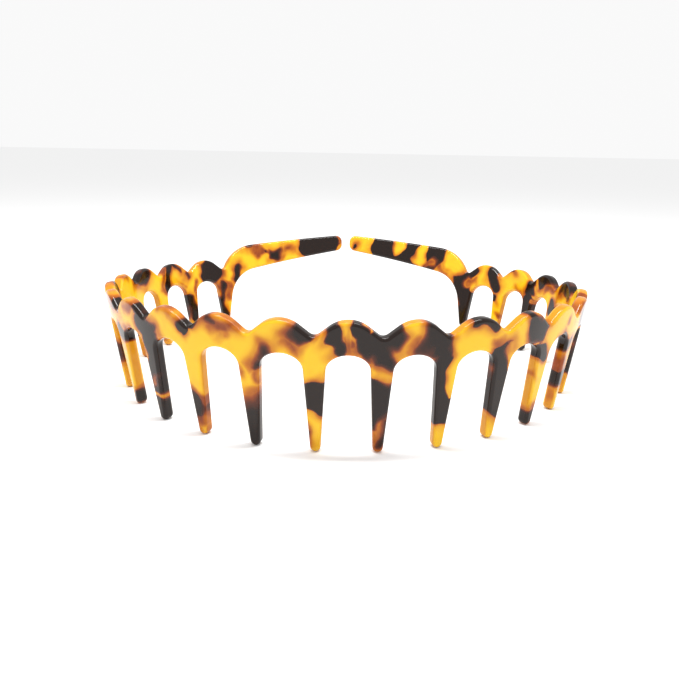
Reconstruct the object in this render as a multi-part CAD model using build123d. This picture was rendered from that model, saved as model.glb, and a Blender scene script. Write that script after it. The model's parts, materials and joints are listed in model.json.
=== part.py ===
from build123d import *
from math import acos, asin, atan2, cos, degrees, hypot, pi, radians, sin, tan
import os

# A comb headband cut from one acetate sheet and bent into an open ring. The ring is
# described on its outer face: s runs along the band from the middle of the front, h runs
# up the slanted face from the line through the valleys, t runs out along its normal.
# All lengths are in mm, all angles in degrees.

# Band in plan
pitch = 14.0              # one scallop, along the outer face
scallops = 21             # odd, so that one scallop is at the middle of the front
crown_scallops = 8        # scallops between the two places where the sides flex
front_turn = 47.5         # how far the band turns from the middle of the front to a flex line
side_turn = 93.4          # and on to the last valley
arm_turn = 32.5           # and along an arm
tip_gap = 3.0             # between the tips of the two arms at the back
slant = 10.0              # the top edge stands out, the teeth lean in to the head
thickness = 2.6           # acetate sheet
edge_round = 0.7          # polished edges

# Outline of the band
scallop_rise = 3.3        # valley to top of a scallop
scallop_radius = 6.5      # top of a scallop
valley_radius = 1.5       # rounding at the bottom of a valley
band_depth = 3.9          # valley down to the top of the arch between two teeth
arch_half_width = 4.6     # elliptical arch between two teeth
arch_height = 3.5
root_drop = 1.1           # the teeth start this far below the top of the arch

# Teeth
front_reach = 25.6        # valley line down to the plane of the tips, at the front
stand_lean = 3.0          # the plane of the tips against the plane of the valleys
tip_radius = 1.25
end_tooth_relief = 2.0    # the two end teeth stop this far above that plane
end_tooth_half_width = 3.1  # arm side of an end tooth, where its taper starts
end_taper_start = 9.5     # that place, below the valley line

# Arms
shoulder_length = 12.0    # last valley to the straight part of the arm
arm_root_width = 8.6
arm_tip_width = 5.4
arm_root_rise = 3.6       # middle of the arm above the valley line, at the shoulder
arm_tip_rise = 8.3        # and at the tip
arm_corner = 2.0          # rounded corners of the tip
arm_stations = 7          # sections that the arm is lofted through

# Fits
flex_clearance = 0.3      # between the crown and each side, at the flex line

margin = 4.0              # how far cutting shapes run past what they cut
touching = 0.05           # a place this near a face or a cut is on it

flex_s = crown_scallops / 2 * pitch
last_valley = scallops / 2 * pitch
root_line = -(band_depth + root_drop)
arch_spring = -(band_depth + arch_height)
tooth_half_width = pitch / 2 - arch_half_width
lean_in = radians(slant)

# The plan of one half is three tangent arcs. Each has its start, its radius, its heading at
# the start and the point where it starts. The arms are as long as brings their tips to the
# gap between them, at the turn that they make.


def next_arc(arc, end):
    start, radius, heading, x, y = arc
    turned = heading + (end - start) / radius
    x_end = x + radius * (sin(turned) - sin(heading))
    y_end = y + radius * (cos(heading) - cos(turned))
    return turned, x_end, y_end


front_arc = (0.0, flex_s / radians(front_turn), 0.0, 0.0, 0.0)
side_radius = (last_valley - flex_s) / radians(side_turn)
side_arc = (flex_s, side_radius, *next_arc(front_arc, flex_s))
arm_start = next_arc(side_arc, last_valley)
turns_in = sin(arm_start[0]) - sin(arm_start[0] + radians(arm_turn))
arm_radius = (arm_start[1] - tip_gap / 2) / turns_in
arm_arc = (last_valley, arm_radius, *arm_start)
arm_tip = last_valley + arm_radius * radians(arm_turn)
blade_length = arm_tip - last_valley - shoulder_length
arcs = (front_arc, side_arc, arm_arc)
arc_ends = (flex_s, last_valley, arm_tip + margin)


def heading_and_point(s):
    """Heading and place of the outer face at s on the right-hand half, s from 0 up."""
    for arc, end in zip(arcs, arc_ends):
        if s <= end:
            return next_arc(arc, s)


def face_plane(s):
    """Plane on the outer face at s: x along the band, y up the face, z outwards."""
    heading, x, y = heading_and_point(s)
    out = Vector(sin(heading), -cos(heading), 0)
    normal = out * cos(lean_in) + Vector(0, 0, -sin(lean_in))
    return Plane(origin=(x, y, 0), x_dir=(cos(heading), sin(heading), 0), z_dir=normal)


def shell(s_from, s_to, h_low, h_high):
    """The bent and slanted sheet between two places along the band and two heights."""
    parts = []
    for arc, end in zip(arcs, arc_ends):
        low, high = max(s_from, arc[0]), min(s_to, end)
        if high - low < 1e-6:
            continue
        start, radius, heading, x, y = arc
        axis = Axis((x - radius * sin(heading), y + radius * cos(heading), 0), (0, 0, 1))
        plane = face_plane(low)
        sheet = Plane(origin=plane.origin, x_dir=plane.z_dir, z_dir=plane.x_dir * -1)
        profile = sheet * Polygon((-thickness, h_low), (0, h_low), (0, h_high),
                                  (-thickness, h_high), align=None)
        parts.append(revolve(profile, axis=axis, revolution_arc=degrees((high - low) / radius)))
    return parts[0] if len(parts) == 1 else parts[0].fuse(*parts[1:])


def cut_out(sheet, outline, s):
    """The part of the sheet inside an outline that is drawn on the face at s."""
    through = extrude(face_plane(s) * outline, amount=thickness + margin, both=True)
    return sheet & through


def on_sheet(point):
    """Where a point is on the sheet: s, h and t. Both halves of the ring read alike."""
    for arc, end in zip(arcs, arc_ends):
        start, radius, heading, x, y = arc
        across, along = abs(point.X) - x + radius * sin(heading), y + radius * cos(heading) - point.Y
        turned = (atan2(across, along) - heading + pi / 2) % (2 * pi) - pi / 2
        s = start + turned * radius
        if s <= end:
            break
    out = hypot(across, along) - radius
    return (s, out * sin(lean_in) + point.Z * cos(lean_in),
            out * cos(lean_in) - point.Z * sin(lean_in))


def polish(solid, *cuts):
    """Round the edges of both faces, but not where the piece meets the next at s = cut, nor
    the smooth edge across a face where two arcs of the sheet meet."""
    edges = []
    for edge in solid.edges():
        s, h, t = on_sheet(edge.position_at(0.5))
        on_face = min(abs(t), abs(t + thickness)) < touching
        gaps = [h - root_line] + [s - cut for cut in (flex_s, last_valley, *cuts)]
        if on_face and min(abs(gap) for gap in gaps) > touching:
            edges.append(edge)
    return fillet(edges, edge_round)


def wave_line():
    """Half a scallop: its round top, a straight flank and half of the rounded valley."""
    both = scallop_radius + valley_radius
    drop = both - scallop_rise
    flank = asin(both / hypot(pitch / 2, drop)) - atan2(drop, pitch / 2)
    top_end = (scallop_radius * sin(flank), scallop_rise - scallop_radius * (1 - cos(flank)))
    valley_start = (pitch / 2 - valley_radius * sin(flank), valley_radius * (1 - cos(flank)))
    valley_mid = (pitch / 2 - valley_radius * sin(flank / 2), valley_radius * (1 - cos(flank / 2)))
    top_mid = (scallop_radius * sin(flank / 2), scallop_rise - scallop_radius * (1 - cos(flank / 2)))
    return [ThreePointArc((0, scallop_rise), top_mid, top_end), Line(top_end, valley_start),
            ThreePointArc(valley_start, valley_mid, (pitch / 2, 0))]


def scallop_outline():
    """One scallop above the arch, drawn a little long at both ends and below the roots."""
    half = wave_line()
    low = root_line - margin
    side = pitch / 2 + margin
    right = half + [Line((pitch / 2, 0), (side, 0)), Line((side, 0), (side, low)),
                    Line((side, low), (0, low)), Line((0, low), (0, scallop_rise))]
    right_half = make_face(right)
    arch = Pos(0, arch_spring) * Ellipse(arch_half_width, arch_height)
    return right_half + mirror(right_half, Plane.YZ) - arch


def taper_angle(half_width, fall):
    """Angle from upright of a side that starts half_width out, that far above the middle of
    the round tip, and runs down to touch it."""
    return acos(tip_radius / hypot(half_width, fall)) - atan2(fall, half_width)


def taper(half_width, start, tip_height):
    """Half a tooth from where its taper starts to its round tip, on the +x side."""
    centre = tip_height + tip_radius
    angle = taper_angle(half_width, start - centre)
    touch = (tip_radius * cos(angle), centre - tip_radius * sin(angle))
    bottom = (0, tip_height)
    middle = (tip_radius * cos((angle + pi / 2) / 2), centre - tip_radius * sin((angle + pi / 2) / 2))
    return [Line((half_width, start), touch), ThreePointArc(touch, middle, bottom)]


def tooth_half(tip_height):
    """Half a tooth beside an arch, drawn a little past its root."""
    high = root_line + margin
    lines = [Line((0, high), (pitch / 2, high)), Line((pitch / 2, high), (pitch / 2, arch_spring)),
             Line((pitch / 2, arch_spring), (tooth_half_width, arch_spring))]
    lines += taper(tooth_half_width, arch_spring, tip_height) + [Line((0, tip_height), (0, high))]
    arch = Pos(pitch / 2, arch_spring) * Ellipse(arch_half_width, arch_height)
    return make_face(lines) - arch


def shoulder_outline(tip_height):
    """The bend that joins an arm to its end tooth, with the arm side of that tooth."""
    end = shoulder_length + margin
    top_slope = atan2(arm_tip_rise - arm_root_rise + (arm_tip_width - arm_root_width) / 2, blade_length)
    low_slope = atan2(arm_tip_rise - arm_root_rise - (arm_tip_width - arm_root_width) / 2, blade_length)
    top = (shoulder_length + edge_round,
           arm_root_rise + arm_root_width / 2 + edge_round * tan(top_slope))
    low = (shoulder_length, arm_root_rise - arm_root_width / 2)
    # the outer bend touches the rounded valley and the top edge of the arm
    from_valley = (top[0], top[1] - valley_radius)
    inward = from_valley[0] * sin(top_slope) - from_valley[1] * cos(top_slope)
    outer = (hypot(*from_valley) ** 2 - valley_radius ** 2) / (2 * (valley_radius - inward))
    centre = (top[0] + outer * sin(top_slope), top[1] - outer * cos(top_slope))
    reach = valley_radius / (valley_radius + outer)
    touch = (centre[0] * reach, valley_radius + (centre[1] - valley_radius) * reach)
    rise = atan2(touch[0], valley_radius - touch[1])
    valley_mid = (valley_radius * sin(rise / 2), valley_radius * (1 - cos(rise / 2)))
    bend = (pi / 2 + top_slope + pi / 2 + rise) / 2
    outer_mid = (centre[0] + outer * cos(bend), centre[1] + outer * sin(bend))
    # the inner bend touches the taper of the end tooth and the lower edge of the arm
    side = taper_angle(end_tooth_half_width, -end_taper_start - tip_height - tip_radius)
    gap = (end_taper_start + low[1]) * cos(low_slope) - (low[0] - end_tooth_half_width) * sin(low_slope)
    inner = gap / (1 - sin(low_slope + side))
    middle = (end_tooth_half_width + inner * cos(side), -end_taper_start - inner * sin(side))
    land = (middle[0] - inner * sin(low_slope), middle[1] + inner * cos(low_slope))
    turn = (pi / 2 + low_slope + pi - side) / 2
    inner_mid = (middle[0] + inner * cos(turn), middle[1] + inner * sin(turn))
    far_top = (end, top[1] + margin * tan(top_slope))
    far_low = (end, low[1] + margin * tan(low_slope))
    lines = [Line((0, tip_height), (0, 0)), ThreePointArc((0, 0), valley_mid, touch),
             ThreePointArc(touch, outer_mid, top), Line(top, far_top), Line(far_top, far_low),
             Line(far_low, land), ThreePointArc(land, inner_mid, (end_tooth_half_width, -end_taper_start))]
    lines += taper(end_tooth_half_width, -end_taper_start, tip_height)
    return make_face(lines)


def tip_height(s, relief=0.0):
    """Height on the face, at s, of the plane that the tips stand in."""
    heading, x, y = heading_and_point(s)
    fall = front_reach - relief - y * tan(radians(stand_lean))
    return -fall / (cos(lean_in) + tan(radians(stand_lean)) * sin(lean_in) * cos(heading))


def band(s_from, s_to):
    """The scalloped strip between two places, without its teeth."""
    sections = []
    number = round(s_from / pitch)
    while (number - 0.5) * pitch < s_to - touching:
        low = max(s_from, (number - 0.5) * pitch)
        high = min(s_to, (number + 0.5) * pitch)
        strip = shell(low, high, root_line, scallop_rise + margin)
        sections.append(cut_out(strip, scallop_outline(), number * pitch))
        number += 1
    return sections[0].fuse(*sections[1:])


def tooth(s):
    tip = tip_height(s)
    half = tooth_half(tip)
    strip = shell(max(s - pitch / 2, 0), s + pitch / 2, tip - margin, root_line)
    return polish(cut_out(strip, half + mirror(half, Plane.YZ), s))


def end_tooth():
    tip = tip_height(last_valley, end_tooth_relief)
    outline = mirror(tooth_half(tip), Plane.YZ) + shoulder_outline(tip)
    strip = shell(last_valley - pitch / 2, last_valley + pitch / 2, tip - margin, root_line)
    return polish(cut_out(strip, outline, last_valley))


def shoulder():
    high = arm_root_rise + arm_root_width / 2 + margin
    strip = shell(last_valley, last_valley + shoulder_length, root_line, high)
    outline = shoulder_outline(tip_height(last_valley, end_tooth_relief))
    below_valley = Rectangle(2 * margin, -2 * root_line, align=(Align.MAX, Align.MAX))
    bent = cut_out(strip, outline + below_valley, last_valley)
    return polish(bent, last_valley + shoulder_length)


def arm():
    """The tapering blade from the shoulder to the tip, lofted through straight sections."""
    sections = []
    for number in range(arm_stations):
        share = number / (arm_stations - 1)
        rise = arm_root_rise + (arm_tip_rise - arm_root_rise) * share
        half = (arm_root_width + (arm_tip_width - arm_root_width) * share) / 2
        plane = face_plane(last_valley + shoulder_length + blade_length * share)
        section = Plane(origin=plane.origin, x_dir=plane.z_dir, z_dir=plane.x_dir * -1)
        sections.append(section * Polygon((-thickness, rise - half), (0, rise - half),
                                          (0, rise + half), (-thickness, rise + half), align=None))
    blade = loft(sections)
    tip_plane = face_plane(arm_tip)
    corners = [edge for edge in blade.edges()
               if abs(tip_plane.to_local_coords(edge.center()).X) < 0.01
               and edge.length < thickness + 0.1]
    return polish(fillet(corners, arm_corner), last_valley + shoulder_length)


# The crown is the front of the band, between the two flex lines. Teeth are numbered 1 to
# 22 from the left. The left half mirrors the right half.
half_crown = band(0.0, flex_s - flex_clearance / 2)
right = {"band_right": band(flex_s + flex_clearance / 2, last_valley),
         "shoulder_right": shoulder(), "arm_right": arm()}
middle = (scallops + 1) // 2
for number in range(middle):
    place = (number + 0.5) * pitch
    right[f"tooth_{middle + 1 + number:02d}"] = tooth(place) if number < middle - 1 else end_tooth()

pieces = {"band_crown": half_crown.fuse(mirror(half_crown, Plane.YZ))}
for name, solid in right.items():
    kind, which = name.split("_")
    which = "left" if which == "right" else f"{scallops + 2 - int(which):02d}"
    pieces[name] = solid
    pieces[f"{kind}_{which}"] = mirror(solid, Plane.YZ)

# Stand the ring on its tips, with the origin under the middle of its box.
stood = {name: Rot(-stand_lean, 0, 0) * solid for name, solid in pieces.items()}
box = Compound(list(stood.values())).bounding_box()
to_origin = Pos(-(box.min.X + box.max.X) / 2, -(box.min.Y + box.max.Y) / 2, -box.min.Z)

os.makedirs("parts", exist_ok=True)
for name, solid in stood.items():
    export_step(to_origin * solid, f"parts/{name}.step")

flex = face_plane(flex_s)
stand = to_origin * Rot(-stand_lean, 0, 0)
hinge = stand * Pos(*flex.origin)
hinge_axis = Rot(-stand_lean, 0, 0) * Pos(*flex.y_dir)
print("flex line on the right:", hinge.position, "axis", hinge_axis.position)
print("size:", box.size, "arm tip at s =", round(arm_tip, 2))
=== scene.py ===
import json
import bpy
import numpy as np
from math import acos, asin, atan, atan2, ceil, cos, hypot, pi, radians, sin, tan
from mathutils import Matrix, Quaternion, Vector
from mathutils.geometry import delaunay_2d_cdt


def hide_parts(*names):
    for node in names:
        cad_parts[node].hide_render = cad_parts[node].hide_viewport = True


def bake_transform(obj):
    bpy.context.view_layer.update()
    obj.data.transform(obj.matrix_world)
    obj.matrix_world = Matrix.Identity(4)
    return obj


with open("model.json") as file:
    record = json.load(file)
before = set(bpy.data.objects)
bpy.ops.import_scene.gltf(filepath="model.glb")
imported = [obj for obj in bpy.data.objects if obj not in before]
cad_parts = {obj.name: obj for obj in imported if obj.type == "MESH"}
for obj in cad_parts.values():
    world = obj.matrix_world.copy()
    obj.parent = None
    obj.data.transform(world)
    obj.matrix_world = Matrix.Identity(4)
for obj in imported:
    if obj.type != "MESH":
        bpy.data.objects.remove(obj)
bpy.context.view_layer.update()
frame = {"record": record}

# ---------------------------------------------------------------------------------------
# The comb: a scalloped band, its teeth and two end arms, all one sheet of tortoiseshell
# acetate, cut out, tumbled to round its edges, polished and bent warm to an open ring. Its
# two halves meet at the middle of the front.

# The bent sheet. Its faces slant: the top edge stands out and the teeth lean in. A place on
# it is s, along the band from the middle of the front, h, up the slanted face from the line
# through the valleys, and t, out from the outer face. All lengths are in mm.
pitch = 14.0                   # from one scallop to the next
flex_s = 4 * pitch             # flex line, and the end of the front arc
last_valley = 10.5 * pitch     # where the shoulder leaves the band
front_turn, side_turn, arm_turn = radians(47.5), radians(93.4), radians(32.5)
front_radius = flex_s / front_turn
side_radius = (last_valley - flex_s) / side_turn
tip_gap = 3.0                  # between the two arm tips
arm_start_x = (front_radius * sin(front_turn)
               + side_radius * (sin(front_turn + side_turn) - sin(front_turn)))
arm_radius = (arm_start_x - tip_gap / 2) / (
    sin(front_turn + side_turn) - sin(front_turn + side_turn + arm_turn))
arm_tip = last_valley + arm_radius * arm_turn
slant = radians(10.0)          # of the faces, from upright
stand_lean = radians(3.0)      # of the ring, which leans back on its tips
thickness = 2.6


def plan(s):
    """Heading and place in plan at s: three tangent arcs, each adding the turn and the
    chord of the length that s has run along it."""
    heading, x, y = np.zeros_like(s), np.zeros_like(s), np.zeros_like(s)
    turned = 0.0
    for start, end, radius in ((0.0, flex_s, front_radius), (flex_s, last_valley, side_radius),
                               (last_valley, np.inf, arm_radius)):
        turn = (np.clip(s, start, end) - start) / radius
        x += radius * (np.sin(turned + turn) - np.sin(turned))
        y += radius * (np.cos(turned) - np.cos(turned + turn))
        heading += turn
        turned += (end - start) / radius
    return heading, x, y


def lean_back(points):
    """The ring stands on its tips, so the plane of its valleys leans back from level."""
    x, y, z = points.T
    return np.column_stack([x, y * cos(stand_lean) + z * sin(stand_lean),
                            z * cos(stand_lean) - y * sin(stand_lean)])


def on_sheet(s, h, t):
    """A place on the sheet, before the ring is stood in the frame: along the outward
    normal of the plan by h sin(slant) + t cos(slant), and up by h cos(slant) - t sin(slant)."""
    heading, x, y = plan(np.abs(s))
    out = h * sin(slant) + t * cos(slant)
    points = np.column_stack([np.sign(s) * (x + out * np.sin(heading)), y - out * np.cos(heading),
                              h * cos(slant) - t * sin(slant)])
    return lean_back(points)


joints = {joint["name"]: joint for joint in frame["record"]["behaviour"]["joints"]}
flex_point = np.array(joints["right_flex"]["pos_m"])
stand_at = flex_point - on_sheet(np.array([flex_s]), np.zeros(1), np.zeros(1))[0] / 1000


def place(s, h, t):
    """A place on the sheet in metres in the frame, found from the right-hand flex line."""
    return on_sheet(s, h, t) / 1000 + stand_at


def turn_out(s, directions):
    """Directions given along the band, up the slanted face and out of it, turned as the
    sheet is turned at s."""
    heading = plan(s)[0]
    along, up, out = directions.T
    level = up * sin(slant) + out * cos(slant)
    return lean_back(np.column_stack([along * np.cos(heading) + level * np.sin(heading),
                                      along * np.sin(heading) - level * np.cos(heading),
                                      up * cos(slant) - out * sin(slant)]))


# The cut outline of scallops, teeth, shoulder and arm, on the sheet laid flat.
scallop_rise, scallop_radius, valley_radius = 3.3, 6.5, 1.5
scallops = 10                  # on each side of the middle one
band_depth = 3.9               # valley line down to the top of an arch
arch_half_width, arch_height = 4.6, 3.5
arch_spring = -(band_depth + arch_height)
front_reach = 25.6             # valley line down to the plane of the tips, at the front
tip_radius = 1.25
end_tooth_relief = 2.0         # the last tooth is this much shorter
end_tooth_half_width, end_taper_start = 3.1, 9.5
shoulder_length = 12.0
arm_root_width, arm_tip_width = 8.6, 5.4
arm_root_rise, arm_tip_rise = 3.6, 8.3
arm_corner = 2.2               # rounding at the arm's tip
outline_step = 0.34            # longest side of a mesh cell along the outline


def line(start, end):
    """Evenly spaced places from start up to end, without end, and the direction of travel."""
    start, run = np.array(start), np.array(end) - np.array(start)
    length = np.hypot(*run)
    count = max(1, ceil(length / outline_step))
    return start + run * (np.arange(count) / count)[:, None], np.repeat([run / length], count, 0)


def arc(centre, across, up, begin, end):
    """An arc of an ellipse with half-axes across and up, from one angle to another."""
    count = max(2, ceil(abs(end - begin) * max(across, up) / outline_step))
    angle = begin + (end - begin) * np.arange(count) / count
    travel = np.column_stack([-across * np.sin(angle), up * np.cos(angle)]) * np.sign(end - begin)
    points = np.array(centre) + np.column_stack([across * np.cos(angle), up * np.sin(angle)])
    return points, travel / np.hypot(*travel.T)[:, None]


def tip_height(s, relief):
    """Height on the sheet, at s, of the plane that the tooth tips stand in."""
    heading, _, y = plan(np.array([s]))
    fall = front_reach - relief - y[0] * tan(stand_lean)
    return -fall / (cos(slant) + tan(stand_lean) * sin(slant) * cos(heading[0]))


def taper_angle(half_width, start, tip):
    """Angle from upright of the straight side that runs from half_width at start and just
    touches the round tip."""
    fall = start - tip - tip_radius
    return acos(tip_radius / hypot(half_width, fall)) - atan2(fall, half_width)


def comb_outline():
    """The right half of the comb, clockwise from the top of the middle scallop: its places
    and the outward direction at each, the direction of travel turned a quarter turn left."""
    both = scallop_radius + valley_radius
    drop = both - scallop_rise
    flank = asin(both / hypot(pitch / 2, drop)) - atan2(drop, pitch / 2)
    runs = []

    # top edge: round tops, straight flanks and rounded valleys
    off_top = np.array([scallop_radius * sin(flank), scallop_rise - scallop_radius * (1 - cos(flank))])
    off_valley = np.array([valley_radius * sin(flank), valley_radius * (1 - cos(flank))])
    for number in range(scallops + 1):
        middle, valley = number * pitch, (number + 0.5) * pitch
        top = (middle, scallop_rise - scallop_radius)
        if number:
            runs.append(arc(top, scallop_radius, scallop_radius, pi / 2 + flank, pi / 2))
        runs.append(arc(top, scallop_radius, scallop_radius, pi / 2, pi / 2 - flank))
        left_flank = (valley - off_valley[0], off_valley[1])
        runs.append(line((middle + off_top[0], off_top[1]), left_flank))
        if number < scallops:
            runs.append(arc((valley, valley_radius), valley_radius, valley_radius,
                            -pi / 2 - flank, -pi / 2 + flank))
            runs.append(line((valley + off_valley[0], off_valley[1]),
                             (valley + pitch / 2 - off_top[0], off_top[1])))

    # shoulder and arm: the outer bend leaves the last valley and touches the arm's top edge
    blade = arm_tip - last_valley - shoulder_length
    top_slope = atan2(arm_tip_rise - arm_root_rise + (arm_tip_width - arm_root_width) / 2, blade)
    low_slope = atan2(arm_tip_rise - arm_root_rise - (arm_tip_width - arm_root_width) / 2, blade)
    top = (shoulder_length, arm_root_rise + arm_root_width / 2)
    low = (shoulder_length, arm_root_rise - arm_root_width / 2)
    from_valley = (top[0], top[1] - valley_radius)
    inward = from_valley[0] * sin(top_slope) - from_valley[1] * cos(top_slope)
    outer = (hypot(*from_valley) ** 2 - valley_radius ** 2) / (2 * (valley_radius - inward))
    centre = (top[0] + outer * sin(top_slope), top[1] - outer * cos(top_slope))
    rise = atan2(centre[0], valley_radius - centre[1])
    runs.append(arc((last_valley, valley_radius), valley_radius, valley_radius,
                    -pi / 2 - flank, -pi / 2 + rise))
    runs.append(arc((last_valley + centre[0], centre[1]), outer, outer,
                    pi / 2 + rise, pi / 2 + top_slope))
    tip_top = arm_tip_rise + arm_tip_width / 2
    tip_low = arm_tip_rise - arm_tip_width / 2
    corner_s = arm_tip - arm_corner
    corner_top = (corner_s, tip_top - arm_corner * (tan(top_slope) + 1 / cos(top_slope)))
    corner_low = (corner_s, tip_low - arm_corner * (tan(low_slope) - 1 / cos(low_slope)))
    touch_top = (corner_s - arm_corner * sin(top_slope), corner_top[1] + arm_corner * cos(top_slope))
    touch_low = (corner_s + arm_corner * sin(low_slope), corner_low[1] - arm_corner * cos(low_slope))
    runs.append(line((last_valley + top[0], top[1]), touch_top))
    runs.append(arc(corner_top, arm_corner, arm_corner, pi / 2 + top_slope, 0.0))
    runs.append(line((arm_tip, corner_top[1]), (arm_tip, corner_low[1])))
    runs.append(arc(corner_low, arm_corner, arm_corner, 0.0, -pi / 2 + low_slope))

    # the inner bend runs down into the end tooth, whose taper it meets without a corner
    tip = tip_height(last_valley, end_tooth_relief)
    side = taper_angle(end_tooth_half_width, -end_taper_start, tip)
    gap = (low[1] + end_taper_start) * cos(low_slope) - (low[0] - end_tooth_half_width) * sin(low_slope)
    inner = gap / (1 - sin(side + low_slope))
    middle = (end_tooth_half_width + inner * cos(side), -end_taper_start - inner * sin(side))
    land = (last_valley + middle[0] - inner * sin(low_slope), middle[1] + inner * cos(low_slope))
    runs.append(line(touch_low, land))
    runs.append(arc((last_valley + middle[0], middle[1]), inner, inner,
                    pi / 2 + low_slope, pi - side))

    # teeth and arches, back to the middle of the front
    right_side = (end_tooth_half_width, -end_taper_start)
    for number in range(scallops, -1, -1):
        tooth_s = (number + 0.5) * pitch
        tip = tip_height(tooth_s, end_tooth_relief if number == scallops else 0.0)
        round_at = (tooth_s, tip + tip_radius)
        lean = [taper_angle(*right_side, tip),
                taper_angle(pitch / 2 - arch_half_width, arch_spring, tip)]
        touch = [(tooth_s + tip_radius * cos(a) * way, round_at[1] - tip_radius * sin(a))
                 for a, way in zip(lean, (1, -1))]
        start_arch = atan(arch_height * tan(lean[1]) / arch_half_width)
        arch_s = number * pitch
        foot = (arch_s + arch_half_width * cos(start_arch), arch_spring + arch_height * sin(start_arch))
        runs.append(line((tooth_s + right_side[0], right_side[1]), touch[0]))
        runs.append(arc(round_at, tip_radius, tip_radius, -lean[0], -pi + lean[1]))
        runs.append(line(touch[1], foot))
        if number:
            next_tip = tip_height(arch_s - pitch / 2, 0.0)
            next_lean = taper_angle(pitch / 2 - arch_half_width, arch_spring, next_tip)
            end_arch = pi - atan(arch_height * tan(next_lean) / arch_half_width)
            runs.append(arc((arch_s, arch_spring), arch_half_width, arch_height, start_arch, end_arch))
            right_side = (pitch / 2 + arch_half_width * cos(end_arch),
                          arch_spring + arch_height * sin(end_arch))
        else:
            runs.append(arc((0.0, arch_spring), arch_half_width, arch_height, start_arch, pi / 2))
    points = np.vstack([run[0] for run in runs] + [[(0.0, -band_depth)]])
    travel = np.vstack([run[1] for run in runs] + [[(-1.0, 0.0)]])
    return points, np.column_stack([-travel[:, 1], travel[:, 0]])


# The tumbled edge, and the mesh of the two faces inside it.
edge_round, edge_rings = 0.85, 6
face_step = 0.6
row_step = 0.87 * face_step    # rows of a grid of even triangles
ring_clearance = 0.55 * face_step
ring_parts = 40                # the ring is compared with the grid in this many parts
merge_below = 1e-6


def comb_half():
    """Places, their normals and faces of the right half. Rings follow the outline round the
    tumbled edge: inset edge_round (1 - cos a) and depth edge_round (1 - sin a) as a goes from
    the side, 0, to the face, 90 degrees. Each face inside its ring is a triangulated grid."""
    outline, outward = comb_outline()
    turn = np.linspace(pi / 2, 0, edge_rings)
    inset = edge_round * (1 - np.cos(np.concatenate([turn, [0.0], turn[::-1]])))
    depth = edge_round * (1 - np.sin(turn))
    ring_t = np.concatenate([-depth, [-thickness / 2], depth[::-1] - thickness])
    face_on = np.concatenate([np.sin(turn), [0.0], -np.sin(turn[::-1])])
    wall_on = np.cos(np.concatenate([turn, [0.0], turn[::-1]]))
    rings = outline[None] - outward[None] * inset[:, None, None]
    rows, count = rings.shape[:2]
    index = np.arange(rows * count).reshape(rows, count)
    quads = np.stack([index[:-1, :-1], index[:-1, 1:], index[1:, 1:], index[1:, :-1]], -1)

    ring = rings[0]
    low, high = ring.min(0), ring.max(0)
    grid_s, grid_h = np.meshgrid(np.arange(face_step, high[0], face_step),
                                 np.arange(low[1] + face_step / 2, high[1], row_step))
    grid_s[1::2] += face_step / 2
    grid = np.column_stack([grid_s.ravel(), grid_h.ravel()])
    near = np.full(len(grid), np.inf)
    for part in np.array_split(ring, ring_parts):
        gap = grid[:, None] - part[None]
        near = np.minimum(near, np.hypot(gap[..., 0], gap[..., 1]).min(1))
    flat = np.vstack([ring, grid[near > ring_clearance]])
    points, _, faces, origins, _, _ = delaunay_2d_cdt(
        flat.tolist(), [], [list(range(count))], 1, merge_below)
    points, faces = np.array(points), np.array(faces)
    source = np.array([origin[0] for origin in origins])
    a, b, c = (points[faces[:, corner]] for corner in range(3))
    clockwise = np.cross(b - a, c - a) < 0
    faces[clockwise] = faces[clockwise][:, ::-1]
    inside = np.setdiff1d(np.unique(faces), np.flatnonzero(source < count))
    outer_of, inner_of = source.copy(), source + (rows - 1) * count
    outer_of[inside] = rows * count + np.arange(len(inside))
    inner_of[inside] = outer_of[inside] + len(inside)

    faced = np.zeros((len(inside), 1))
    sheet = np.vstack([np.column_stack([rings.reshape(-1, 2), np.repeat(ring_t, count)]),
                       np.hstack([points[inside], faced]),
                       np.hstack([points[inside], faced - thickness])])
    walls = np.hstack([(outward[None] * wall_on[:, None, None]).reshape(-1, 2),
                       np.repeat(face_on, count)[:, None]])
    normals = np.vstack([walls, np.hstack([faced, faced, faced + 1]),
                         np.hstack([faced, faced, faced - 1])])
    tris = np.vstack([outer_of[faces], inner_of[faces][:, ::-1]])
    return sheet, normals, quads.reshape(-1, 4), tris, np.concatenate([index[:, 0], index[::-1, -1]])


comb_sheet, comb_normals, comb_quads, comb_tris, comb_cap = comb_half()


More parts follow.
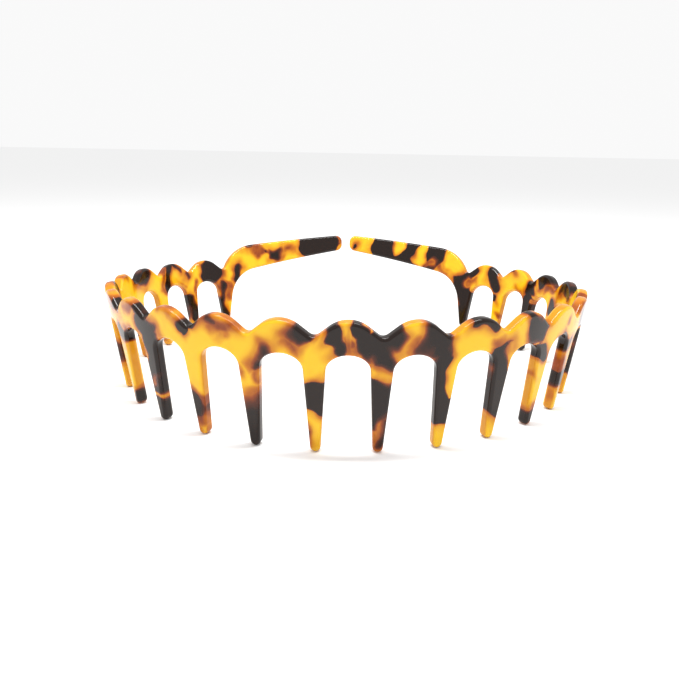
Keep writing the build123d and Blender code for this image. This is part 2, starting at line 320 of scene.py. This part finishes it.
def build_comb(name, side):
    """One half as a mesh: side is 1 for the right half and -1 for its mirror image. Its flat
    end, where the halves meet, keeps a square edge, and every other edge is smooth."""
    mirror = np.array([side, 1.0, 1.0])
    points = place(*comb_sheet.T) * mirror
    normals = turn_out(comb_sheet[:, 0], comb_normals) * mirror
    flip = slice(None, None, side)
    loops = np.concatenate([comb_quads[:, flip].ravel(), comb_tris[:, flip].ravel(), comb_cap[flip]])
    sizes = np.concatenate([np.full(len(comb_quads), 4), np.full(len(comb_tris), 3), [len(comb_cap)]])
    mesh = bpy.data.meshes.new(name)
    mesh.vertices.add(len(points))
    mesh.vertices.foreach_set("co", points.ravel())
    mesh.loops.add(len(loops))
    mesh.loops.foreach_set("vertex_index", loops.astype(np.int32))
    mesh.polygons.add(len(sizes))
    mesh.polygons.foreach_set("loop_start", (np.cumsum(sizes) - sizes).astype(np.int32))
    mesh.update(calc_edges=True)
    mesh.attributes.new("sheet_mm", "FLOAT_VECTOR", "POINT").data.foreach_set(
        "vector", (comb_sheet * mirror).ravel())
    mesh.attributes.new("patches_mm", "FLOAT_VECTOR", "POINT").data.foreach_set(
        "vector", lay_patches(comb_sheet * mirror).ravel())
    corner_normals = normals[loops]
    corner_normals[-len(comb_cap):] = (-side, 0.0, 0.0)
    mesh.normals_split_custom_set(corner_normals)
    piece = bpy.data.objects.new(name, mesh)
    bpy.context.scene.collection.objects.link(piece)
    return piece


def bend(piece):
    """Bakes the half's place in the frame into its mesh."""
    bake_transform(piece)


# Tortoiseshell is cast from amber and brown-black scraps, so its patches go right through
# the sheet. They are laid one over another, each a rounded box: its kind, its middle, in
# pitches from the front and mm of height, half its width and half its height in mm, its tilt
# in degrees and the blur of its edge in mm. An amber patch uncovers the sheet's own colour.
patches = [
    # front scallops, from the left
    ("rust", -4.95, 1.4, 4.5, 1.6, 0, 0.8), ("dark", -4.6, 0.6, 2.6, 1.8, -15, 0.7),
    ("dark", -5.3, -1.5, 3.0, 2.0, 10, 1.2), ("rust", -3.95, 1.7, 2.6, 1.3, -20, 0.8),
    ("dark", -3.5, -1.9, 3.6, 2.4, -30, 0.8), ("dark", -3.7, 0.9, 2.0, 0.9, -40, 0.4),
    ("dark", -2.95, 3.5, 1.5, 0.8, 0, 0.5), ("dark", -2.5, 0.4, 2.6, 1.3, 0, 0.5),
    ("dark", -2.52, -0.9, 1.3, 1.2, 0, 0.4), ("rust", -1.98, 1.7, 3.0, 1.7, -12, 1.0),
    ("dark", -2.1, 2.4, 1.6, 0.7, -10, 0.8), ("rust", -1.72, 0.9, 2.4, 1.3, -28, 1.0),
    ("rust", -1.9, -0.8, 1.2, 0.7, -30, 0.8), ("dark", -0.7, 0.7, 2.0, 2.1, -38, 0.45),
    ("rust", -0.8, -2.0, 2.3, 1.4, -20, 1.5), ("dark", 0.38, -2.4, 3.4, 3.2, 0, 0.6),
    ("dark", -0.23, 0.0, 2.0, 2.5, -20, 0.3), ("dark", -0.17, -2.6, 1.3, 1.6, 0, 0.3),
    ("dark", -0.24, 2.1, 1.6, 0.9, 35, 0.4), ("rust", 0.0, -0.8, 1.3, 0.8, 20, 0.4),
    ("dark", 0.45, -0.7, 5.0, 2.6, 0, 0.4), ("dark", 0.2, 1.9, 1.9, 1.7, -20, 0.4),
    ("dark", 0.62, 1.6, 1.6, 1.3, 25, 0.4), ("dark", 0.5, -4.2, 2.7, 2.6, 0, 0.7),
    ("rust", 0.28, -5.4, 0.6, 1.2, 0, 1.0), ("rust", 0.95, -0.9, 1.3, 2.4, 0, 1.0),
    ("dark", 1.25, -0.6, 3.5, 4.4, -12, 1.6), ("dark", 1.4, 1.0, 2.0, 1.6, -35, 0.5),
    ("dark", 2.05, 2.6, 3.2, 1.5, -18, 0.3), ("rust", 2.38, -2.9, 1.0, 2.6, 24, 0.6),
    ("dark", 3.2, -0.9, 4.0, 3.2, -12, 0.9), ("dark", 3.1, 2.5, 2.4, 1.0, -20, 0.5),
    ("rust", 4.08, -1.1, 0.7, 0.9, 0, 0.6), ("rust", 4.75, 1.6, 3.2, 1.3, -10, 0.7),
    ("dark", 5.1, -1.6, 4.0, 2.2, 0, 0.9), ("rust", 5.75, 1.2, 1.6, 2.4, 20, 0.6),
    # front teeth, from the left
    ("rust", -6.5, -12.0, 2.6, 3.5, 0, 1.0), ("rust", -5.5, -5.0, 2.6, 1.2, 0, 1.0),
    ("dark", -5.5, -13.0, 2.8, 3.0, 8, 0.8), ("dark", -4.3, -5.8, 4.0, 1.8, 0, 0.6),
    ("dark", -3.95, -8.6, 1.2, 2.4, 0, 0.5), ("dark", -4.3, -22.6, 3.2, 2.0, 14, 1.0),
    ("dark", -3.4, -12.5, 3.2, 10.0, 0, 0.5), ("rust", -3.45, -15.5, 1.0, 1.6, 0, 1.0),
    ("amber", -3.4, -19.0, 3.4, 0.35, 0, 0.35), ("dark", -3.4, -22.6, 3.0, 2.8, 0, 0.5),
    ("rust", -2.5, -18.6, 3.0, 4.0, 4, 0.4), ("dark", -2.56, -17.9, 1.8, 2.8, 0, 0.4),
    ("dark", -2.6, -21.0, 1.1, 2.4, 6, 0.8), ("amber", -2.3, -21.6, 0.8, 3.4, 4, 0.4),
    ("dark", -1.27, -4.3, 1.5, 3.0, -15, 1.5), ("rust", -1.6, -8.3, 0.9, 0.7, 0, 0.5),
    ("rust", -1.33, -9.0, 0.5, 2.4, 0, 0.5), ("rust", -1.5, -14.5, 3.0, 3.0, 0, 2.0),
    ("dark", -1.45, -21.8, 4.6, 8.2, 4, 2.2), ("dark", -0.5, -13.4, 6.0, 3.3, -8, 0.25),
    ("rust", -0.63, -22.0, 0.6, 3.0, 6, 0.35), ("dark", -0.64, -23.0, 0.4, 2.0, 6, 0.4),
    ("amber", 0.5, -7.7, 3.2, 0.7, 0, 0.5), ("dark", 0.5, -14.4, 4.6, 5.2, 0, 0.7),
    ("rust", 0.56, -21.4, 1.8, 4.4, 8, 0.4), ("dark", 0.58, -20.6, 1.2, 4.0, 6, 1.3),
    ("amber", 0.37, -22.8, 0.5, 2.4, 10, 0.5), ("dark", 1.4, -11.5, 1.7, 8.5, 1, 0.35),
    ("amber", 1.6, -7.5, 0.95, 6.0, -2, 0.25), ("dark", 1.5, -17.2, 5.0, 3.1, -2, 0.25),
    ("dark", 2.46, -10.6, 2.5, 8.2, 0, 0.35), ("amber", 2.64, -5.0, 1.0, 2.4, 20, 0.5),
    ("dark", 2.5, -15.6, 5.0, 3.6, -14, 0.3), ("amber", 3.6, -3.0, 0.9, 4.0, 0, 0.7),
    ("dark", 3.3, -6.6, 3.0, 1.9, 0, 0.35), ("rust", 3.34, -11.2, 1.2, 0.5, -40, 0.3),
    ("rust", 3.4, -20.4, 3.0, 1.2, 0, 0.7), ("dark", 3.4, -22.8, 3.0, 2.2, 0, 0.7),
    ("dark", 4.2, -6.0, 4.0, 1.7, -12, 0.6), ("rust", 4.3, -11.5, 3.4, 3.0, 0, 0.8),
    ("dark", 4.4, -16.4, 2.4, 2.4, -14, 0.6), ("dark", 5.5, -11.0, 3.2, 7.0, 0, 0.6),
    ("dark", 6.5, -9.0, 2.6, 3.4, 0, 0.7), ("dark", 6.5, -20.0, 2.6, 2.4, 0, 0.5),
    # left side and its arm
    ("dark", -6.1, 1.2, 3.4, 2.0, 0, 1.2), ("rust", -6.9, 3.0, 2.6, 0.9, 0, 0.8),
    ("dark", -7.5, -13.0, 2.6, 2.6, 0, 0.5), ("rust", -7.45, -9.5, 1.0, 1.2, 0, 0.4),
    ("dark", -7.75, 1.3, 5.6, 2.5, -4, 0.7), ("dark", -8.78, -0.7, 1.3, 4.6, 12, 0.45),
    ("rust", -8.6, -1.0, 1.1, 4.2, 8, 0.6), ("rust", -8.65, 2.6, 2.2, 0.7, 0, 0.7),
    ("dark", -9.1, 2.5, 2.8, 0.8, 22, 0.5), ("dark", -8.55, -17.0, 2.4, 3.2, 0, 0.4),
    ("dark", -9.4, -1.0, 0.9, 1.2, 0, 0.5), ("rust", -9.2, -3.6, 1.8, 0.7, 15, 1.0),
    ("dark", -9.45, -11.5, 1.7, 5.0, 0, 0.5), ("rust", -9.64, -6.5, 0.8, 3.2, 0, 0.6),
    ("dark", -10.15, -0.2, 5.0, 4.2, 0, 0.5), ("amber", -9.58, -0.2, 2.0, 3.4, 0, 0.6),
    ("rust", -10.6, -8.0, 2.2, 3.6, 0, 0.5), ("dark", -10.42, -11.0, 1.2, 6.0, 0, 0.6),
    ("amber", -10.6, -1.2, 1.5, 3.4, 0, 0.4), ("dark", -10.86, -1.7, 1.1, 2.7, 24, 0.6),
    ("dark", -10.6, 4.6, 3.0, 0.9, -48, 0.5), ("rust", -10.72, 4.3, 2.0, 0.9, -50, 0.6),
    ("dark", -11.05, 7.4, 0.5, 0.7, 0, 0.2), ("rust", -10.92, 5.6, 0.6, 0.7, 0, 0.3),
    ("rust", -11.5, 6.6, 2.4, 3.6, -20, 0.7), ("dark", -11.45, 9.0, 3.6, 1.2, -12, 0.5),
    ("dark", -11.68, 4.6, 0.7, 0.8, 0, 0.3), ("dark", -11.96, 4.3, 3.0, 2.0, -10, 0.7),
    ("rust", -12.4, 5.6, 3.4, 1.6, -10, 1.6), ("dark", -13.2, 9.0, 7.3, 5.6, -6, 0.2),
    ("rust", -13.0, 11.4, 2.8, 1.4, -6, 0.5), ("rust", -13.72, 9.0, 1.0, 2.4, 0, 0.4),
    # right side and its arm
    ("dark", 6.9, 1.2, 5.0, 2.4, 0, 0.7), ("dark", 7.9, 1.6, 6.8, 2.4, -4, 0.7),
    ("rust", 7.72, -0.7, 3.8, 1.3, -12, 0.6), ("dark", 8.4, -1.5, 2.0, 3.0, 12, 0.5),
    ("amber", 8.17, -0.8, 0.55, 2.6, -18, 0.3), ("dark", 7.4, -6.0, 1.8, 3.0, 0, 0.6),
    ("rust", 7.5, -15.0, 2.6, 2.8, 0, 0.6), ("dark", 8.5, -9.0, 2.6, 4.6, 0, 0.6),
    ("rust", 8.36, -6.6, 1.2, 1.0, 20, 0.8), ("dark", 8.5, -20.5, 2.6, 1.6, 0, 0.4),
    ("rust", 8.86, -2.8, 2.6, 0.8, 14, 0.8), ("dark", 9.23, 2.0, 1.8, 0.8, -32, 0.5),
    ("dark", 9.6, -7.4, 1.2, 1.4, 0, 0.25), ("rust", 9.42, -12.4, 1.0, 0.6, 0, 0.3),
    ("dark", 9.5, -20.0, 2.4, 2.6, 0, 0.5), ("dark", 9.7, -0.7, 2.1, 4.6, -12, 0.4),
    ("dark", 10.38, 0.6, 2.4, 1.6, -32, 0.45), ("rust", 10.3, -2.2, 2.2, 1.2, -25, 0.5),
    ("dark", 10.62, -3.8, 4.2, 4.6, -10, 0.3), ("dark", 10.5, -12.0, 2.8, 7.0, 0, 0.5),
    ("rust", 10.42, -3.6, 2.0, 2.4, 20, 0.9), ("amber", 10.84, 2.6, 4.4, 3.6, 42, 0.2),
    ("rust", 11.2, -0.2, 2.8, 1.6, 34, 1.3), ("dark", 12.05, 6.5, 11.6, 7.0, 6, 0.3),
    ("rust", 11.62, 1.8, 2.8, 1.4, 0, 1.2), ("amber", 11.82, 5.8, 2.0, 5.8, 24, 0.2),
    ("amber", 12.5, 8.6, 2.9, 3.9, 4, 0.2), ("dark", 12.93, 7.4, 3.3, 6.0, 14, 0.2),
    ("dark", 13.69, 6.4, 0.6, 1.0, -20, 0.2),
]


corner_share = 0.75            # a patch's corner radius, as a share of its smaller half size
sway, ripple = 0.75, 0.2       # heights of the two sines that wave each direction
no_patch, plain_blur = -4.0, 0.6   # the lengths before any patch is laid
rust_rim = 0.5                 # a dark patch keeps this much of a rust one that lies on it
blur_reach, blur_fade = 1.8, 1.5


def lay_patches(sheet):
    """Three lengths in mm at each place: how far it is inside a dark patch, how far inside
    a rust one, and the blur of the nearest edge. Inside a rounded box the distance is its
    corner radius less the length by which the place passes the box of corner middles. The
    sheet is waved first by four sines, so that no patch keeps a straight side. The blur of a
    patch starts blur_reach outside it and has replaced the last one blur_fade further in."""
    s, h = sheet[:, 0], sheet[:, 1]
    s_waved = s + sway * np.sin(0.55 * h + 0.31 * s) + ripple * np.sin(1.3 * h - 0.7 * s)
    h_waved = h + sway * np.sin(0.62 * s - 0.2 * h) + ripple * np.sin(1.45 * s + 0.9 * h)
    dark, rust, blur = (np.full(len(sheet), start) for start in (no_patch, no_patch, plain_blur))
    for kind, middle, height, wide, high, tilt, soft in patches:
        across, up = s_waved - middle * pitch, h_waved - height
        turned = radians(tilt)
        corner = corner_share * min(wide, high)
        over_s = np.abs(across * cos(turned) + up * sin(turned)) - wide + corner
        over_h = np.abs(up * cos(turned) - across * sin(turned)) - high + corner
        inside = (corner - np.hypot(np.maximum(over_s, 0), np.maximum(over_h, 0))
                  - np.minimum(np.maximum(over_s, over_h), 0))
        if kind == "dark":
            dark = np.maximum(dark, inside)
        elif kind == "rust":
            rust = np.maximum(rust, inside)
            dark = np.minimum(dark, rust_rim - inside)
        else:
            dark, rust = np.minimum(dark, -inside), np.minimum(rust, -inside)
        blur += (soft - blur) * np.clip((inside + blur_reach) / blur_fade, 0, 1)
    return np.column_stack([dark, rust, blur])


comb_right = build_comb("comb_right", 1)
comb_left = build_comb("comb_left", -1)


class Socket:
    """An output of a node. An expression on it adds Math nodes, and node adds any other."""

    def __init__(self, tree, out):
        self.tree, self.out = tree, out

    def node(self, kind, inputs, output=0, stops=(), **settings):
        """Adds a node: its settings and the stops of a ramp first, then the value or link of
        each named socket."""
        made = self.tree.nodes.new(kind)
        for name, value in settings.items():
            setattr(made, name, value)
        for number, (position, tone) in enumerate(stops):
            ramp = made.color_ramp.elements
            stop = ramp[number] if number < len(ramp) else ramp.new(position)
            stop.position, stop.color = position, (*tone, 1.0)
        for name, value in inputs.items():
            if isinstance(value, Socket):
                self.tree.links.new(value.out, made.inputs[name])
            else:
                made.inputs[name].default_value = value
        return Socket(self.tree, made.outputs[output])

    def math(self, operation, first, second=0.0, clamp=False):
        return self.node("ShaderNodeMath", {0: first, 1: second}, operation=operation, use_clamp=clamp)

    def __add__(self, other):
        return self.math("ADD", self, other)

    def __sub__(self, other):
        return self.math("SUBTRACT", self, other)

    def __rsub__(self, other):
        return self.math("SUBTRACT", other, self)

    def __mul__(self, other):
        return self.math("MULTIPLY", self, other)

    def __truediv__(self, other):
        return self.math("DIVIDE", self, other)

    __radd__, __rmul__ = __add__, __mul__

    def step(self, low, high):
        """0 below low and 1 above high, rising smoothly between them."""
        share = self.math("DIVIDE", self - low, high - low, clamp=True)
        return share * share * (3.0 - 2.0 * share)

    def larger(self, other):
        return self.math("MAXIMUM", self, other)

    def noise(self, scale, detail):
        """Noise about 0, from this vector: scale is in waves per mm, and it stays within +-0.5."""
        return self.node("ShaderNodeTexNoise", {"Vector": self, "Scale": scale, "Detail": detail}) - 0.5


def acetate_material():
    """Polished tortoiseshell acetate. The laid patches give the edges, noise makes them
    wander, and a level from 0, amber, through rust to 1, brown-black, gives the colour."""
    material = bpy.data.materials.new("acetate")
    material.use_nodes = True
    tree = material.node_tree
    shader = tree.nodes["Principled BSDF"]
    start = Socket(tree, None)
    sheet = start.node("ShaderNodeAttribute", {}, output="Vector", attribute_name="sheet_mm")
    lengths = start.node("ShaderNodeAttribute", {}, output="Vector", attribute_name="patches_mm")
    dark_mm, rust_mm, blur_mm = (
        start.node("ShaderNodeSeparateXYZ", {"Vector": lengths}, output=name) for name in "XYZ")

    # edges wander, blurred ones further than sharp ones, and the blur comes and goes
    wander = sheet.noise(0.2, 1.0) * 1.3 + sheet.noise(0.7, 1.0) * 0.35
    spread = blur_mm * (1.1 + sheet.noise(0.16, 0.0) * 2.6).larger(0.4)
    dark_edge = dark_mm + wander * (0.4 + blur_mm * 0.7)
    dark = (dark_edge / (spread * 2.8) + 0.5).step(0.0, 1.0)
    rust_edge = rust_mm + wander + 0.5
    rust_tone = 0.5 + sheet.noise(0.3, 2.0) * 0.5
    rust = (rust_edge / (spread * 2.2 + 1.4) + 0.4).step(0.0, 1.0) * rust_tone

    # a rust rim round the dark patches, a faint haze in the amber, and painted shade on the tumbled
    # edges and sides
    halo_tone = 0.36 + sheet.noise(0.2, 1.0) * 0.7
    halo = (dark_edge / (spread * 3.0 + 1.2) + 0.9).step(0.0, 1.0) * halo_tone
    haze = (sheet.noise(0.09, 2.0) + sheet.noise(0.35, 1.0) * 0.3).step(0.0, 0.3) * 0.15
    # painted shade: the rounded edges and the sides get a deeper amber, growing from each face over its
    # first 0.6 mm in
    height_t = start.node("ShaderNodeSeparateXYZ", {"Vector": sheet}, output="Z")
    under_face = height_t.math("MINIMUM", height_t * -1.0, height_t + thickness)
    painted_edge_shade = under_face.step(0.05, 0.6) * 0.24
    level = dark.larger(rust).larger(halo + haze * 0.5).larger(painted_edge_shade + haze)

    tones = [(0.0, (0.79, 0.475, 0.012)), (0.16, (0.69, 0.34, 0.008)), (0.34, (0.48, 0.145, 0.005)),
             (0.5, (0.26, 0.050, 0.005)), (0.7, (0.075, 0.015, 0.005)), (1.0, (0.010, 0.0035, 0.0015))]
    colour = start.node("ShaderNodeValToRGB", {"Fac": level}, stops=tones)
    tree.links.new(colour.out, shader.inputs["Base Color"])
    polish = 0.09 + sheet.noise(0.6, 3.0) * 0.05
    tree.links.new(polish.out, shader.inputs["Roughness"])
    shader.inputs["IOR"].default_value = 1.38
    shader.inputs["Subsurface Weight"].default_value = 0.15
    shader.inputs["Subsurface Radius"].default_value = (1.0, 0.55, 0.2)
    shader.inputs["Subsurface Scale"].default_value = 0.0012
    return material


acetate = acetate_material()

for piece, side, body in ((comb_right, 1, "right_side"), (comb_left, -1, "left_side")):
    piece.data.materials.append(acetate)
    bend(piece)
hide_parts("band_crown", "band_right", "shoulder_right", "arm_right",
            *[f"tooth_{number:02d}" for number in range(12, 23)])
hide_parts("band_crown", "band_left", "shoulder_left", "arm_left",
            *[f"tooth_{number:02d}" for number in range(1, 12)])

# ---------------------------------------------------------------------------------------
# The floor, matt white and plain. It is far wider than the ring, and the tips of the teeth
# stand on it.

floor_half, floor_white = 20, (0.93, 0.93, 0.93, 1)
floor_mesh = bpy.data.meshes.new("floor")
floor_mesh.from_pydata([(-floor_half, -floor_half, 0), (floor_half, -floor_half, 0),
                        (floor_half, floor_half, 0), (-floor_half, floor_half, 0)], [], [(0, 1, 2, 3)])
floor = bpy.data.objects.new("floor", floor_mesh)
bpy.context.scene.collection.objects.link(floor)
floor_paint = bpy.data.materials.new("floor_paint")
floor_paint.use_nodes = True
floor_shader = floor_paint.node_tree.nodes["Principled BSDF"]
floor_shader.inputs["Base Color"].default_value = floor_white
floor_shader.inputs["Roughness"].default_value = 0.9
floor_shader.inputs["Specular IOR Level"].default_value = 0.0
floor_mesh.materials.append(floor_paint)

# ---------------------------------------------------------------------------------------
# Light: an evenly white room, and one long soft light above and a little in front, which
# draws the highlights along the top edge of the band.

bpy.context.scene.view_settings.view_transform = "Standard"
world = bpy.data.worlds.new("room")
world.use_nodes = True
world.node_tree.nodes["Background"].inputs["Color"].default_value = (1.0, 1.0, 1.0, 1)
world.node_tree.nodes["Background"].inputs["Strength"].default_value = 0.95
bpy.context.scene.world = world

light = bpy.data.lights.new("overhead", "AREA")
light.shape, light.size, light.size_y = "ELLIPSE", 0.5, 0.045
light.energy = 1.9
lamp = bpy.data.objects.new("overhead", light)
lamp.location = (0.0, -0.04, 0.4)
lamp.rotation_euler = (-lamp.location).to_track_quat("-Z", "Y").to_euler()
bpy.context.scene.collection.objects.link(lamp)

# ---------------------------------------------------------------------------------------
# The camera looks at the middle of the ring from in front and a little above. The view is
# turned by 0.6 degrees and rolled by 1.1.

view_distance = 0.1798         # m from the middle of the ring
view_rise, view_turn, view_roll = radians(12.3), 0.0109, 0.0185
centre_back = 54.2             # mm from the front of the band to the middle of the ring
camera = bpy.data.cameras.new("camera")
camera.sensor_width, camera.lens = 36.0, 34.65
camera.shift_x, camera.shift_y = -0.0106, -0.0676
camera.clip_start = 0.01
viewer = bpy.data.objects.new("viewer", camera)
away = Vector((-sin(view_turn) * cos(view_rise), -cos(view_turn) * cos(view_rise),
               sin(view_rise)))
ring_centre = Vector(lean_back(np.array([[0.0, centre_back, 0.0]]))[0] / 1000 + stand_at)
viewer.location = ring_centre + away * view_distance
viewer.rotation_mode = "QUATERNION"
viewer.rotation_quaternion = (-away).to_track_quat("-Z", "Y") @ Quaternion((0, 0, 1), view_roll)
bpy.context.scene.collection.objects.link(viewer)
bpy.context.scene.camera = viewer
